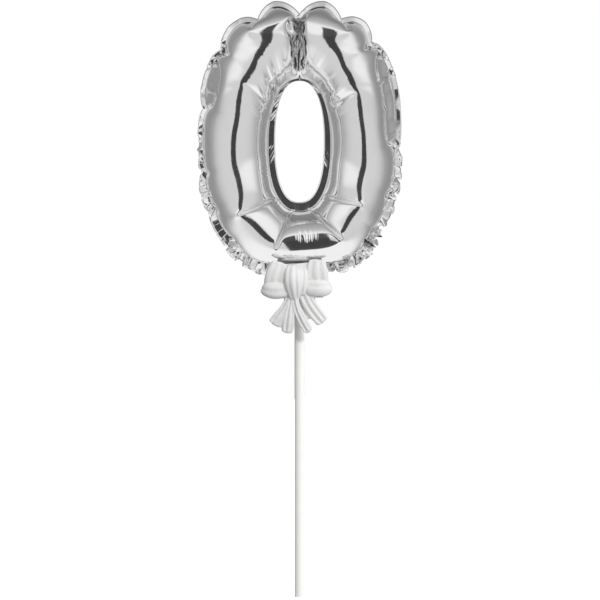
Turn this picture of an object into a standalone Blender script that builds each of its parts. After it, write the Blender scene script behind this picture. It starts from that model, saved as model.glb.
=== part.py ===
"""A foil number balloon, the figure 0, on a push-in stick with a moulded bow clip.

Two foil panels are welded together round the outline and round the hole of the figure. The
balloon's neck is pulled over a socket that the stick turns in, an elastic band holds it there,
and the two halves of the bow clip close round it.

Metres, +Z up, front towards -Y. The origin is the centre of the stick's lower end.
"""

import math

import bmesh
import bpy
from mathutils import Matrix, Vector

# Clearances
GAP = 0.0003  # between two pieces that touch
STICK_PLAY = 0.00015  # radial play of the stick in its socket
PEG_PLAY = 0.00015  # radial play of the bow's pegs in their holes

# Stick and socket
STICK_LENGTH = 0.1165
STICK_RADIUS = 0.00195
STICK_WALL = 0.0005
SOCKET_DEPTH = 0.0065  # how far the stick goes into its socket
SOCKET_WALL = 0.0012
SOCKET_CAP = 0.0035  # closed end of the socket, above the stick
SOCKET_BARB = 0.0003  # how far its ridges stand out
SOCKET_BARBS = 3

# Foil, drawn much thicker than the real film
FILM = 0.0004
WELD_WIDTH = 0.0022  # flat border outside the outer weld
HOLE_WELD_WIDTH = 0.0022  # flat border inside the weld round the hole
FIGURE_HALF_WIDTH = 0.0374  # to the outer weld
FIGURE_HALF_HEIGHT = 0.0497
FIGURE_POWER = 2.6
HOLE_HALF_WIDTH = 0.0118  # to the weld round the hole
HOLE_HALF_HEIGHT = 0.0257
HOLE_POWER = 2.3
HOLE_DROP = 0.0036  # how far the hole's centre lies below the figure's
TUBE_FULLNESS = 0.99  # depth of the inflated tube as a share of its width
# Where the outer weld is drawn in between two lobes: degrees from +X, and depth
LOBE_NOTCHES = (
    (90, 0.0050), (111, 0.0030), (133, 0.0020), (165, 0.0012), (209, 0.0008), (228, 0.0010),
    (69, 0.0030), (52, 0.0024), (-8, 0.0012), (-41, 0.0014), (-60, 0.0010),
)
NOTCH_WIDTH = 5.5  # degrees

# Neck of the balloon, and the valve inside it
NECK_FLANGE = 0.0018
NECK_LENGTH = 0.0165  # below the clip's top
VALVE_TAPER = 0.8  # width at the films' lower end as a share of their upper end
VALVE_LENGTH = 0.0150
VALVE_FILM = 0.0003

# Elastic band
BAND_HEIGHT = 0.0016
BAND_THICKNESS = 0.0006

# Bow clip
CLIP_HEIGHT = 0.0096
CLIP_WALL = 0.0012
WING_THICKNESS = 0.0042
PEG_RADIUS = 0.0008
PEG_LENGTH = 0.0034
BOW_BELOW_TOP = 0.0068  # from the clip's top down to the level the ribbons are measured from
BOW_RELIEF = 0.0029  # from the front of the clip's bore to the middle of the bow's ribbons
BOW_VOXEL = 0.0006
BOW_FACES_KEPT = 0.32

ROUND_SEGMENTS = 32
RING_SECTIONS = 60
ARCH_STEPS = 8

# Radii that follow from the stick's
BORE_RADIUS = STICK_RADIUS + STICK_PLAY
SOCKET_RADIUS = BORE_RADIUS + SOCKET_WALL
NECK_INNER = SOCKET_RADIUS + SOCKET_BARB + GAP
NECK_OUTER = NECK_INNER + FILM
CLIP_BORE = NECK_OUTER + GAP
CLIP_OUTER = CLIP_BORE + CLIP_WALL
RECESS_HALF_WIDTH = NECK_OUTER + NECK_FLANGE + GAP
RECESS_DEPTH = GAP / 2 + FILM + GAP
PEG_X = RECESS_HALF_WIDTH + PEG_PLAY + PEG_RADIUS + 0.0006
CLIP_HALF_WIDTH = PEG_X + PEG_RADIUS + 0.0012

# Heights that follow from the stick's length
SOCKET_BOTTOM = STICK_LENGTH - SOCKET_DEPTH
SOCKET_TOP = STICK_LENGTH + GAP + SOCKET_CAP
CLIP_TOP = STICK_LENGTH + 0.0095
CLIP_BOTTOM = CLIP_TOP - CLIP_HEIGHT
CLIP_MIDDLE = (CLIP_TOP + CLIP_BOTTOM) / 2
NECK_BOTTOM = CLIP_TOP - NECK_LENGTH
BAND_TOP = CLIP_BOTTOM - GAP
FIGURE_BOTTOM = CLIP_TOP + 0.0022
FIGURE_CENTRE = FIGURE_BOTTOM + WELD_WIDTH + FIGURE_HALF_HEIGHT
HOLE_CENTRE = FIGURE_CENTRE - HOLE_DROP


def clear_scene():
    for item in list(bpy.data.objects):
        bpy.data.objects.remove(item)


def material(name, colour, roughness, metallic=0.0):
    made = bpy.data.materials.new(name)
    made.use_nodes = True
    shader = made.node_tree.nodes["Principled BSDF"]
    shader.inputs["Base Color"].default_value = (*colour, 1.0)
    shader.inputs["Roughness"].default_value = roughness
    shader.inputs["Metallic"].default_value = metallic
    return made


def add_object(name, bm, paint=None, smooth=True):
    """Turns a bmesh into an object of the scene."""
    bmesh.ops.recalc_face_normals(bm, faces=bm.faces)
    mesh = bpy.data.meshes.new(name)
    bm.to_mesh(mesh)
    bm.free()
    if smooth:
        mesh.shade_smooth()
        mesh.set_sharp_from_angle(angle=math.radians(35))
    made = bpy.data.objects.new(name, mesh)
    bpy.context.scene.collection.objects.link(made)
    if paint:
        mesh.materials.append(paint)
    return made


def helper(name, bm):
    """A shape that only cuts or joins another."""
    made = add_object(name, bm, smooth=False)
    made.hide_render = True
    made.display_type = "WIRE"
    return made


def combine(target, operation, *others):
    for other in others:
        step = target.modifiers.new(f"{operation.lower()} {other.name}", "BOOLEAN")
        step.operation = operation
        step.solver = "EXACT"
        step.object = other


def ring_of(bm, points):
    return [bm.verts.new(p) for p in points]


def bridge(bm, first, second):
    count = len(first)
    for i in range(count):
        j = (i + 1) % count
        bm.faces.new((first[i], first[j], second[j], second[i]))


def turned(profile):
    """A solid turned about Z from a closed list of (radius, height)."""
    bm = bmesh.new()
    rings = []
    for radius, height in profile:
        angles = [2 * math.pi * k / ROUND_SEGMENTS for k in range(ROUND_SEGMENTS)]
        rings.append(ring_of(bm, [(radius * math.cos(a), radius * math.sin(a), height) for a in angles]))
    for first, second in zip(rings, rings[1:] + rings[:1]):
        bridge(bm, first, second)
    return bm


def capped(profile):
    """A solid turned about Z from an open list of (radius, height), closed by a flat face at each end."""
    bm = bmesh.new()
    rings = []
    for radius, height in profile:
        angles = [2 * math.pi * k / ROUND_SEGMENTS for k in range(ROUND_SEGMENTS)]
        rings.append(ring_of(bm, [(radius * math.cos(a), radius * math.sin(a), height) for a in angles]))
    for first, second in zip(rings, rings[1:]):
        bridge(bm, first, second)
    bm.faces.new(rings[0])
    bm.faces.new(rings[-1])
    return bm


def block(low, high):
    low, high = Vector(low), Vector(high)
    bm = bmesh.new()
    place = Matrix.Translation((low + high) / 2) @ Matrix.Diagonal((*(high - low), 1))
    bmesh.ops.create_cube(bm, size=1, matrix=place)
    return bm


def peg(x, z, radius, start, end):
    """A round bar along Y."""
    bm = bmesh.new()
    place = Matrix.Translation((x, (start + end) / 2, z)) @ Matrix.Rotation(math.pi / 2, 4, "X")
    bmesh.ops.create_cone(
        bm, cap_ends=True, segments=20, radius1=radius, radius2=radius, depth=abs(end - start), matrix=place
    )
    return bm


# ---------------------------------------------------------------- stick and socket


def make_stick(paint):
    inner = STICK_RADIUS - STICK_WALL
    profile = [(STICK_RADIUS, 0), (STICK_RADIUS, STICK_LENGTH), (inner, STICK_LENGTH), (inner, 0)]
    return add_object("stick_tube", turned(profile), paint)


def make_socket(paint):
    """The blind socket that the stick turns in, with ridges that grip the neck."""
    collar = SOCKET_RADIUS + SOCKET_BARB
    profile = [(BORE_RADIUS, SOCKET_BOTTOM), (SOCKET_RADIUS, SOCKET_BOTTOM)]
    pitch = (SOCKET_TOP - SOCKET_BOTTOM - 2 * SOCKET_WALL) / SOCKET_BARBS
    for k in range(SOCKET_BARBS):
        foot = SOCKET_BOTTOM + SOCKET_WALL + k * pitch
        profile += [(SOCKET_RADIUS, foot), (collar, foot + 0.15 * pitch), (SOCKET_RADIUS, foot + 0.75 * pitch)]
    profile += [(SOCKET_RADIUS, SOCKET_TOP - SOCKET_WALL), (SOCKET_RADIUS - 0.6 * SOCKET_WALL, SOCKET_TOP)]
    bm = capped(profile + [(0.4 * SOCKET_RADIUS, SOCKET_TOP)])
    # the bore's blind end replaces the flat face at the bottom
    ends = [f for f in bm.faces if len(f.verts) == ROUND_SEGMENTS]
    floor = min(ends, key=lambda f: f.calc_center_median().z)
    deep = bmesh.ops.extrude_discrete_faces(bm, faces=[floor])["faces"][0]
    bmesh.ops.translate(bm, vec=(0, 0, STICK_LENGTH + GAP - SOCKET_BOTTOM), verts=list(deep.verts))
    return add_object("stick_socket", bm, paint)


def make_band(paint):
    inner, outer = NECK_OUTER + GAP, NECK_OUTER + GAP + BAND_THICKNESS
    edge = BAND_THICKNESS * 0.3
    low, high = BAND_TOP - BAND_HEIGHT, BAND_TOP
    profile = [
        (inner, low), (outer - edge, low), (outer, low + edge),
        (outer, high - edge), (outer - edge, high), (inner, high),
    ]
    return add_object("neck_band", turned(profile), paint)


# ---------------------------------------------------------------- foil panels


def rounded_outline(angle, half_width, half_height, power, centre):
    """A point of a superellipse in the plane of the figure."""
    c, s = math.cos(angle), math.sin(angle)
    x = half_width * math.copysign(abs(c) ** (2 / power), c)
    z = half_height * math.copysign(abs(s) ** (2 / power), s)
    return Vector((x, 0, centre + z))


def notch_depth(point):
    """How far the outer weld is drawn in at this point of the outline."""
    angle = math.degrees(math.atan2(point.z - FIGURE_CENTRE, point.x))
    depth = 0.0
    for at, most in LOBE_NOTCHES:
        away = (angle - at + 180) % 360 - 180
        depth = max(depth, most * math.exp(-((away / NOTCH_WIDTH) ** 2)))
    return depth


def weld_lines(angle):
    """(point on the weld round the hole, point on the outer weld) at this angle."""
    hole = rounded_outline(angle, HOLE_HALF_WIDTH, HOLE_HALF_HEIGHT, HOLE_POWER, HOLE_CENTRE)
    edge = rounded_outline(angle, FIGURE_HALF_WIDTH, FIGURE_HALF_HEIGHT, FIGURE_POWER, FIGURE_CENTRE)
    inward = (hole - edge).normalized()
    return hole, edge + inward * notch_depth(edge)


def panel_section(angle, side):
    """The closed profile of one foil panel at this angle. side is -1 at the front and 1 at the back."""
    hole, edge = weld_lines(angle)
    width = (edge - hole).length
    across = (edge - hole) / width
    depth = TUBE_FULLNESS * width / 2
    face, back = side * (GAP / 2 + FILM), side * GAP / 2

    def at(along, y):
        return hole + across * along + Vector((0, y, 0))

    arch = [math.pi * k / ARCH_STEPS for k in range(ARCH_STEPS + 1)]
    outside = [at(-HOLE_WELD_WIDTH, face)]
    outside += [at(width * (1 - math.cos(a)) / 2, face + side * depth * math.sin(a)) for a in arch]
    outside += [at(width + WELD_WIDTH, face)]
    inside = [at(-HOLE_WELD_WIDTH, back)]
    inner_half = width / 2 - FILM
    for a in arch:
        inside.append(at(width / 2 - inner_half * math.cos(a), back + side * depth * math.sin(a)))
    inside += [at(width + WELD_WIDTH, back)]
    return outside + inside[::-1]


def ring_panel(side):
    bm = bmesh.new()
    sections = [
        ring_of(bm, panel_section(2 * math.pi * (k + 0.5) / RING_SECTIONS, side)) for k in range(RING_SECTIONS)
    ]
    for first, second in zip(sections, sections[1:] + sections[:1]):
        bridge(bm, first, second)
    return bm


def neck_half(side, radius, near, flange, low, high):
    """Half of a round neck with a flat flange down each side, as a solid bar. near is its flat back."""
    steps = 12
    points = []
    if flange:
        points += [(radius + flange, near), (radius + flange, near + FILM), (radius, near + FILM)]
    start = near + FILM if flange else near
    for k in range(steps + 1):
        a = math.pi * k / steps
        y = max(radius * math.sin(a), start)
        points.append((radius * math.cos(a), y))
    if flange:
        points += [(-radius, near + FILM), (-radius - flange, near + FILM), (-radius - flange, near)]
    tidy = []
    for p in points:
        if not tidy or math.dist(p, tidy[-1]) > 1e-5:
            tidy.append(p)
    bm = bmesh.new()
    bottom = ring_of(bm, [(x, side * y, low) for x, y in tidy])
    top = ring_of(bm, [(x, side * y, high) for x, y in tidy])
    bridge(bm, bottom, top)
    bm.faces.new(bottom)
    bm.faces.new(top)
    return bm


def make_panel(name, side, paint):
    panel = add_object(name, ring_panel(side), paint)
    near = GAP / 2
    joined_to = FIGURE_BOTTOM + WELD_WIDTH + 0.0030
    # the neck keeps a hair behind the weld's own faces, so that no two faces coincide
    inset = 0.00003
    plain = helper(f"{name}_neck", neck_half(side, NECK_OUTER, near + inset, 0, NECK_BOTTOM, joined_to))
    flanged = helper(
        f"{name}_neck_flange",
        neck_half(side, NECK_OUTER - inset, near + 2 * inset, NECK_FLANGE, CLIP_BOTTOM, joined_to - 0.0012),
    )
    bore = helper(
        f"{name}_neck_bore", neck_half(side, NECK_INNER, -GAP, 0, NECK_BOTTOM - GAP, joined_to + 0.0035)
    )
    combine(panel, "UNION", plain, flanged)
    combine(panel, "DIFFERENCE", bore)
    return panel


def make_valve_film(name, side, paint):
    """One of the valve's two films. It starts above the socket and stands up into the balloon."""
    low, high = SOCKET_TOP + GAP * 2, SOCKET_TOP + GAP * 2 + VALVE_LENGTH
    rows, columns = 6, 6
    bm = bmesh.new()
    sheets = []
    for extra in (0, VALVE_FILM):
        grid = []
        for i in range(rows + 1):
            up = i / rows
            half = (NECK_INNER - GAP) * (VALVE_TAPER + (1 - VALVE_TAPER) * up)
            bulge = 0.0009 * math.sin(math.pi * up)
            row = []
            for j in range(columns + 1):
                u = 2 * j / columns - 1
                y = side * (GAP / 2 + bulge * (1 - u * u) + extra)
                row.append(bm.verts.new((half * u, y, low + (high - low) * up)))
            grid.append(row)
        sheets.append(grid)
        for i in range(rows):
            for j in range(columns):
                bm.faces.new((grid[i][j], grid[i][j + 1], grid[i + 1][j + 1], grid[i + 1][j]))
    near, far = [
        [g[0][j] for j in range(columns + 1)]
        + [g[i][columns] for i in range(1, rows + 1)]
        + [g[rows][j] for j in range(columns - 1, -1, -1)]
        + [g[i][0] for i in range(rows - 1, 0, -1)]
        for g in sheets
    ]
    bridge(bm, near, far)
    return add_object(name, bm, paint)


# ---------------------------------------------------------------- bow clip


def smooth_point(points, t):
    """A point at t, from 0 to 1, on a smooth curve through the given tuples."""
    spans = len(points) - 1
    span = min(int(t * spans), spans - 1)
    u = t * spans - span
    p = [points[max(0, min(spans, span + k))] for k in (-1, 0, 1, 2)]
    weights = (
        -0.5 * u + u * u - 0.5 * u**3,
        1 - 2.5 * u * u + 1.5 * u**3,
        0.5 * u + 2 * u * u - 1.5 * u**3,
        -0.5 * u * u + 0.5 * u**3,
    )
    return [sum(w * q[k] for w, q in zip(weights, p)) for k in range(len(points[0]))]


def add_ribbon(bm, stations, sections=14, sides=14):
    """Adds a rounded bar. Each station is (x, y, z, half width, half depth); the ends are domed."""
    rings = []
    for k in range(sections + 1):
        t = 0.5 - 0.5 * math.cos(math.pi * k / sections)
        x, y, z, half, deep = smooth_point(stations, t)
        ahead = Vector(smooth_point(stations, min(1, t + 0.02))[:3])
        behind = Vector(smooth_point(stations, max(0, t - 0.02))[:3])
        along = (ahead - behind).normalized()
        across = along.cross(Vector((0, 1, 0))).normalized()
        out = across.cross(along)
        # the dome: the section shrinks over the last tenth of the length
        near_end = min(1.0, min(t, 1 - t) / 0.12)
        size = max(0.05, math.sqrt(1 - (1 - near_end) ** 2))
        centre = Vector((x, y, z))
        ring = []
        for s in range(sides):
            a = 2 * math.pi * s / sides
            ring.append(centre + across * half * size * math.cos(a) + out * deep * size * math.sin(a))
        rings.append(ring_of(bm, ring))
    for first, second in zip(rings, rings[1:]):
        bridge(bm, first, second)
    bm.faces.new(rings[0])
    bm.faces.new(rings[-1])


def bow_stations():
    """The bow's ribbons: x, and y and z counted from the ribbons' middle, half width and half depth."""
    mm = 0.001
    left_loop = [(-8.6, -2.4, 9.6, 2.6, 1.1), (-9.7, -1.4, 4.5, 3.7, 1.7), (-10.3, 0.0, -1.2, 4.0, 1.9)]
    right_loop = [(7.0, -2.4, 10.2, 2.6, 1.1), (7.7, -1.4, 4.5, 3.6, 1.7), (8.0, 0.0, -1.0, 3.8, 1.9)]
    left_roll = [(-14.0, -0.6, -0.8, 2.2, 2.0), (-10.4, -0.9, -1.4, 2.7, 2.6), (-6.0, -0.4, -1.0, 2.4, 2.4)]
    right_roll = [(11.6, -0.6, -0.4, 2.2, 2.0), (8.2, -0.9, -1.0, 2.7, 2.6), (4.0, -0.4, -0.8, 2.4, 2.4)]
    knot = [(-1.2, 1.0, 9.0, 2.9, 1.9), (-1.6, -1.4, 4.2, 4.2, 2.9), (-1.6, -1.0, -3.8, 3.4, 2.0)]
    tails = [
        [(-3.0, -0.8, 0.5, 1.9, 1.5), (-5.3, -0.2, -6.8, 2.3, 1.4), (-10.2, 0.4, -14.8, 2.9, 1.3)],
        [(-2.4, -1.2, 0.5, 1.6, 1.4), (-3.4, -0.6, -8.5, 1.9, 1.4), (-5.2, -0.2, -17.4, 2.5, 1.4)],
        [(-0.6, -1.4, 0.5, 1.7, 1.5), (0.7, -1.2, -8.5, 1.9, 1.5), (3.8, -0.6, -17.2, 2.4, 1.4)],
        [(1.0, -0.8, 0.5, 1.9, 1.5), (4.2, -0.4, -7.0, 2.3, 1.4), (8.6, 0.2, -13.8, 2.7, 1.3)],
    ]
    shapes = [left_loop, right_loop, left_roll, right_roll, knot, *tails]
    base_y = -(CLIP_BORE + BOW_RELIEF)
    base_z = CLIP_TOP - BOW_BELOW_TOP
    return [
        [(x * mm, base_y + y * mm, base_z + z * mm, half * mm, deep * mm) for x, y, z, half, deep in shape]
        for shape in shapes
    ]


def make_bow_front(paint):
    """The moulded bow: its ribbons run into a block whose back is half of the clip's bore."""
    bm = block(
        (-CLIP_HALF_WIDTH + 0.0004, -CLIP_BORE - BOW_RELIEF, CLIP_BOTTOM + 0.0003),
        (CLIP_HALF_WIDTH - 0.0004, 0, CLIP_TOP - 0.0003),
    )
    for stations in bow_stations():
        add_ribbon(bm, stations)
    bow = add_object("bow_front", bm, paint)
    fuse = bow.modifiers.new("fuse the ribbons", "REMESH")
    fuse.mode = "VOXEL"
    fuse.voxel_size = BOW_VOXEL
    soften = bow.modifiers.new("soften", "SMOOTH")
    soften.factor = 0.5
    soften.iterations = 3
    thin = bow.modifiers.new("thin", "DECIMATE")
    thin.ratio = BOW_FACES_KEPT
    far = 0.03
    parting = -GAP / 2
    low, high = CLIP_BOTTOM - far, CLIP_TOP + far
    back = helper("bow_cut_parting", block((-far, parting, low), (far, far, high)))
    recess = helper(
        "bow_cut_recess", block((-RECESS_HALF_WIDTH, -RECESS_DEPTH, low), (RECESS_HALF_WIDTH, far, high))
    )
    bore = helper("bow_cut_bore", capped([(CLIP_BORE, low), (CLIP_BORE, high)]))
    combine(bow, "DIFFERENCE", back, recess, bore)
    for side, word in ((-1, "left"), (1, "right")):
        bar = peg(side * PEG_X, CLIP_MIDDLE, PEG_RADIUS, parting - 0.0015, PEG_LENGTH)
        combine(bow, "UNION", helper(f"bow_peg_{word}", bar))
    return bow


def make_bow_back(paint):
    """The clip's plain back half: half a bore with a wing each side that takes the bow's pegs."""
    parting = GAP / 2
    shell = add_object("bow_back", capped([
        (CLIP_OUTER - 0.0005, CLIP_BOTTOM), (CLIP_OUTER, CLIP_BOTTOM + 0.0005),
        (CLIP_OUTER, CLIP_TOP - 0.0005), (CLIP_OUTER - 0.0005, CLIP_TOP),
    ]), paint)
    inset = 0.0008
    wings = block(
        (-CLIP_HALF_WIDTH, -GAP, CLIP_BOTTOM + inset), (CLIP_HALF_WIDTH, WING_THICKNESS, CLIP_TOP - inset)
    )
    upright = [e for e in wings.edges if abs((e.verts[0].co - e.verts[1].co).x) < GAP]
    outer = [e for e in upright if min(v.co.y for v in e.verts) > 0 or abs((e.verts[0].co - e.verts[1].co).y) > GAP]
    bmesh.ops.bevel(wings, geom=outer, offset=0.0012, segments=3, affect="EDGES", profile=0.5)
    combine(shell, "UNION", helper("back_wings", wings))
    far = 0.03
    low, high = CLIP_BOTTOM - far, CLIP_TOP + far
    front = helper("back_cut_parting", block((-far, -far, low), (far, parting, high)))
    recess = helper(
        "back_cut_recess", block((-RECESS_HALF_WIDTH, -far, low), (RECESS_HALF_WIDTH, RECESS_DEPTH, high))
    )
    bore = helper("back_cut_bore", capped([(CLIP_BORE, low), (CLIP_BORE, high)]))
    combine(shell, "DIFFERENCE", front, recess, bore)
    for side, word in ((-1, "left"), (1, "right")):
        hole = peg(side * PEG_X, CLIP_MIDDLE, PEG_RADIUS + PEG_PLAY, -GAP, PEG_LENGTH + GAP)
        combine(shell, "DIFFERENCE", helper(f"back_hole_{word}", hole))
    return shell


def main():
    clear_scene()
    foil = material("silver_foil", (0.78, 0.78, 0.79), 0.08, metallic=1.0)
    clear_film = material("clear_film", (0.86, 0.88, 0.90), 0.15)
    plastic = material("white_plastic", (0.90, 0.90, 0.89), 0.30)
    stick_plastic = material("stick_plastic", (0.90, 0.88, 0.86), 0.40)
    elastic = material("clear_elastic", (0.80, 0.80, 0.78), 0.45)
    make_stick(stick_plastic)
    make_socket(plastic)
    make_band(elastic)
    make_panel("foil_front_panel", -1, foil)
    make_panel("foil_back_panel", 1, foil)
    make_valve_film("valve_film_front", -1, clear_film)
    make_valve_film("valve_film_back", 1, clear_film)
    make_bow_front(plastic)
    make_bow_back(plastic)


main()
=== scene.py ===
import math

import bmesh
import bpy
import numpy as np
from mathutils import Matrix, Vector


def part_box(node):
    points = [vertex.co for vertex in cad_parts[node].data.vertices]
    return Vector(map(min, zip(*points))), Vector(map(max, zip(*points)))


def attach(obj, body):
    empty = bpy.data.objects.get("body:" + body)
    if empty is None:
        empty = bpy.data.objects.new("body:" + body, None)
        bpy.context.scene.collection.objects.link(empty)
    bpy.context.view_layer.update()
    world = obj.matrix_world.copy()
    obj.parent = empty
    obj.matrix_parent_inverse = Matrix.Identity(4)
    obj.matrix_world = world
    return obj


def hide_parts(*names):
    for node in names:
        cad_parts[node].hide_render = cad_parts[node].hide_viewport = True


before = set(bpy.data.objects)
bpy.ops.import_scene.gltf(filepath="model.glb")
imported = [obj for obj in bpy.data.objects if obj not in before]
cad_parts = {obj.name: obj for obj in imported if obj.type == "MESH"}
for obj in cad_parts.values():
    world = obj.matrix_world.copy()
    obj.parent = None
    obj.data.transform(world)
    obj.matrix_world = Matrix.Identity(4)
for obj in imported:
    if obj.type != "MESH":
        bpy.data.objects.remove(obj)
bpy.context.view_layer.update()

MM = 0.001

# ---------------------------------------------------------------- places taken from the CAD

CLIP_LOW, CLIP_HIGH = (Vector(corner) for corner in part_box("bow_back"))
BAND_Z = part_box("neck_band")[0][2]

# ---------------------------------------------------------------- sizes that match the CAD's

WELD_WIDTH = 0.0022
FIGURE_HALF_HEIGHT = 0.0497
CENTRE_Z = CLIP_HIGH.z + 0.0022 + WELD_WIDTH + FIGURE_HALF_HEIGHT
NECK_RADIUS = 0.0043
NECK_BELOW, NECK_ABOVE = 0.0165, 0.0056  # how far the neck runs from the clip's top
CLIP_BORE = 0.0046
CLIP_EDGE = 0.00045
BOW_VOXEL = 0.00022
RECESS_HALF_WIDTH = 0.0064
RECESS_DEPTH = 0.00085
PEG_X, PEG_RADIUS, PEG_LENGTH = 0.00795, 0.0008, 0.0034
PARTING = -0.00015


# ---------------------------------------------------------------- mesh helpers


def placed(name, data):
    """A new object in the scene that shows the data."""
    made = bpy.data.objects.new(name, data)
    bpy.context.scene.collection.objects.link(made)
    return made


def mesh_object(name, points, faces, paint, smooth=True):
    mesh = bpy.data.meshes.new(name)
    mesh.from_pydata(np.asarray(points).tolist(), [], np.asarray(faces).tolist())
    if smooth:
        mesh.shade_smooth()
    mesh.materials.append(paint)
    return placed(name, mesh)


def mesh_from(name, bm):
    """A mesh with what bm holds; bm is freed."""
    mesh = bpy.data.meshes.new(name)
    bm.to_mesh(mesh)
    bm.free()
    return mesh


def apply_modifiers(made):
    """Replaces the mesh by what its modifiers make of it."""
    graph = bpy.context.evaluated_depsgraph_get()
    mesh = bpy.data.meshes.new_from_object(made.evaluated_get(graph))
    made.modifiers.clear()
    made.data = mesh


def repaint(made, paint):
    made.data.materials.clear()
    made.data.materials.append(paint)


def grid_faces(ids, around=True):
    """Quads of a grid of point numbers; around closes its first direction."""
    if around:
        ids = np.concatenate([ids, ids[:1]])
    quads = np.stack([ids[:-1, :-1], ids[1:, :-1], ids[1:, 1:], ids[:-1, 1:]], -1)
    return quads.reshape(-1, 4)


# ---------------------------------------------------------------- camera, floor and light


def add_camera():
    """Level, straight at the front, from far enough away that the view is almost parallel."""
    away, seen = 3.0, 0.234
    data = bpy.data.cameras.new("camera")
    data.sensor_width = 36.0
    data.lens = data.sensor_width * away / seen
    data.clip_end = 50.0
    camera = placed("camera", data)
    camera.location = (0.0002, -away, 0.1158)
    camera.rotation_euler = (math.radians(90), 0, 0)
    bpy.context.scene.camera = camera


class Nodes:
    """Short names for building a node tree."""

    def __init__(self, tree):
        self.tree = tree
        tree.nodes.clear()

    def new(self, kind, **settings):
        node = self.tree.nodes.new(kind)
        for name, value in settings.items():
            setattr(node, name, value)
        return node

    def link(self, source, target):
        self.tree.links.new(source, target)

    def put(self, value, socket):
        if isinstance(value, (int, float, tuple)):
            socket.default_value = value
        else:
            self.link(value, socket)

    def math(self, operation, *values):
        node = self.new("ShaderNodeMath", operation=operation)
        for value, socket in zip(values, node.inputs):
            self.put(value, socket)
        return node.outputs[0]

    def smooth(self, value, low, high, first=0.0, last=1.0):
        node = self.new("ShaderNodeMapRange", interpolation_type="SMOOTHSTEP")
        self.put(value, node.inputs["Value"])
        for name, number in (("From Min", low), ("From Max", high), ("To Min", first), ("To Max", last)):
            node.inputs[name].default_value = number
        return node.outputs[0]

    def noise(self, scale, detail=2.0, roughness=0.5, vector=None, distortion=0.0):
        node = self.new("ShaderNodeTexNoise")
        node.inputs["Scale"].default_value = scale
        node.inputs["Detail"].default_value = detail
        node.inputs["Roughness"].default_value = roughness
        node.inputs["Distortion"].default_value = distortion
        if vector is not None:
            self.link(vector, node.inputs["Vector"])
        return node.outputs["Fac"]

    def ramp(self, value, stops):
        node = self.new("ShaderNodeValToRGB")
        self.link(value, node.inputs[0])
        elements = node.color_ramp.elements
        while len(elements) < len(stops):
            elements.new(0.5)
        for element, (place, level) in zip(elements, stops):
            element.position = place
            element.color = (level, level, level, 1.0)
        return node.outputs[0]


def add_world():
    """A white tent: bright in front and below, greyer above and behind, with a dark slit to look in by."""
    world = bpy.data.worlds.new("studio")
    bpy.context.scene.world = world
    world.use_nodes = True
    n = Nodes(world.node_tree)
    split = n.new("ShaderNodeSeparateXYZ")
    n.link(n.new("ShaderNodeTexCoord").outputs["Generated"], split.inputs[0])
    x, y, z = split.outputs
    towards_front = n.math("MULTIPLY", y, -1.0)
    turn = n.math("ABSOLUTE", n.math("ARCTAN2", x, towards_front))
    rise = n.math("ARCSINE", z)
    walls = n.ramp(
        n.math("MULTIPLY_ADD", towards_front, 0.5, 0.5),
        [(0.0, 0.60), (0.07, 0.56), (0.15, 0.34), (0.33, 0.33), (0.52, 0.42), (0.63, 0.56), (0.75, 0.67),
         (0.85, 0.72), (1.0, 0.74)],
    )
    # a bright band over the tent's front edge, and a brighter table
    band_low = n.smooth(rise, math.radians(2), math.radians(14))
    band_high = n.smooth(rise, math.radians(34), math.radians(52), 1.0, 0.0)
    in_front = n.smooth(towards_front, 0.1, 0.6)
    band = n.math("MULTIPLY", n.math("MULTIPLY", band_low, band_high), in_front)
    table = n.smooth(rise, math.radians(-50), math.radians(-22), 1.0, 0.0)
    light = n.math("MULTIPLY_ADD", band, 0.26, walls)
    light = n.math("ADD", light, n.math("MULTIPLY", table, n.math("SUBTRACT", 1.02, light)))
    off_axis = n.math("MINIMUM", turn, n.math("SUBTRACT", math.pi, turn))
    light = n.math("MULTIPLY", light, n.smooth(rise, math.radians(34), math.radians(64), 1.0, 0.76))
    slit_wide = n.smooth(off_axis, math.radians(8.2), math.radians(10.4), 1.0, 0.0)
    slit_top = n.smooth(rise, math.radians(30), math.radians(37), 1.0, 0.0)
    slit_foot = n.smooth(rise, math.radians(-48), math.radians(-43))
    slit = n.math("MULTIPLY", slit_wide, n.math("MULTIPLY", slit_top, slit_foot))
    light = n.math("MULTIPLY", light, n.math("MULTIPLY_ADD", slit, -0.92, 1.0))
    # what dull surfaces receive: more from above, from the right and from behind
    soft = n.math("ADD", n.smooth(z, -0.5, 0.8, 0.04, 0.50), n.smooth(x, -0.7, 0.8, 0.02, 0.70))
    soft = n.math("ADD", soft, n.smooth(y, 0.15, 0.9, 0.0, 0.55))
    path = n.new("ShaderNodeLightPath")
    level = n.new("ShaderNodeMix", data_type="FLOAT")
    n.link(path.outputs["Is Diffuse Ray"], level.inputs["Factor"])
    n.link(light, level.inputs["A"])
    n.link(soft, level.inputs["B"])
    tent = n.new("ShaderNodeBackground")
    n.link(level.outputs["Result"], tent.inputs["Color"])
    backdrop = n.new("ShaderNodeBackground")
    backdrop.inputs["Color"].default_value = (1.0, 1.0, 1.0, 1.0)
    choose = n.new("ShaderNodeMixShader")
    n.link(path.outputs["Is Camera Ray"], choose.inputs[0])
    n.link(tent.outputs[0], choose.inputs[1])
    n.link(backdrop.outputs[0], choose.inputs[2])
    n.link(choose.outputs[0], n.new("ShaderNodeOutputWorld").inputs["Surface"])


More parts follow.
